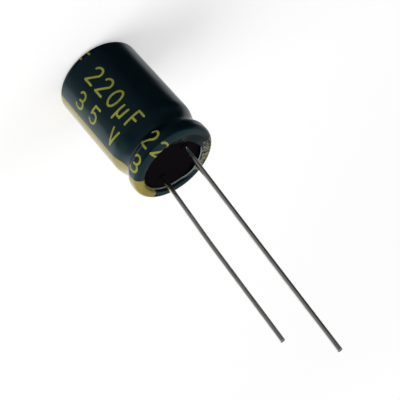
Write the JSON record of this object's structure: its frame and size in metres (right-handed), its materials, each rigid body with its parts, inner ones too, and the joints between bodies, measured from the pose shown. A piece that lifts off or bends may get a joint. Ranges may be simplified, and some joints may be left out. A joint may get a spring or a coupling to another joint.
{
  "type": "electrolytic capacitor",
  "caption": "Radial aluminium electrolytic capacitor: wound foil element in a beaded can with a printed shrink sleeve, a rubber bung and tinned wires.",
  "frame": {"origin": "centre of the closed end, on the plane that it stands on", "axes": "+Z along the can towards the wires; +X from the negative wire to the positive wire"},
  "size_m": [0.0082, 0.0082, 0.0352],
  "materials": {
    "sleeve_film": "glossy near-black green shrink film with pale gold print",
    "can_metal": "drawn aluminium, satin",
    "bung_rubber": "moulded black rubber, dull",
    "tinned_wire": "tinned drawn wire, bright with fine draw lines",
    "tab_metal": "pressed aluminium",
    "anode_metal": "etched and formed foil, dull grey",
    "cathode_metal": "etched foil, pale grey",
    "separator_paper": "soaked capacitor paper",
    "tape_film": "amber adhesive film"
  },
  "bodies": {
    "root": {"sleeve": "sleeve_film", "can": "can_metal", "bung": "bung_rubber", "positive_wire": "tinned_wire", "negative_wire": "tinned_wire", "positive_tab": "tab_metal", "negative_tab": "tab_metal", "anode_foil": "anode_metal", "cathode_foil": "cathode_metal", "inner_paper": "separator_paper", "outer_paper": "separator_paper", "closing_tape": "tape_film"}
  },
  "joints": []
}
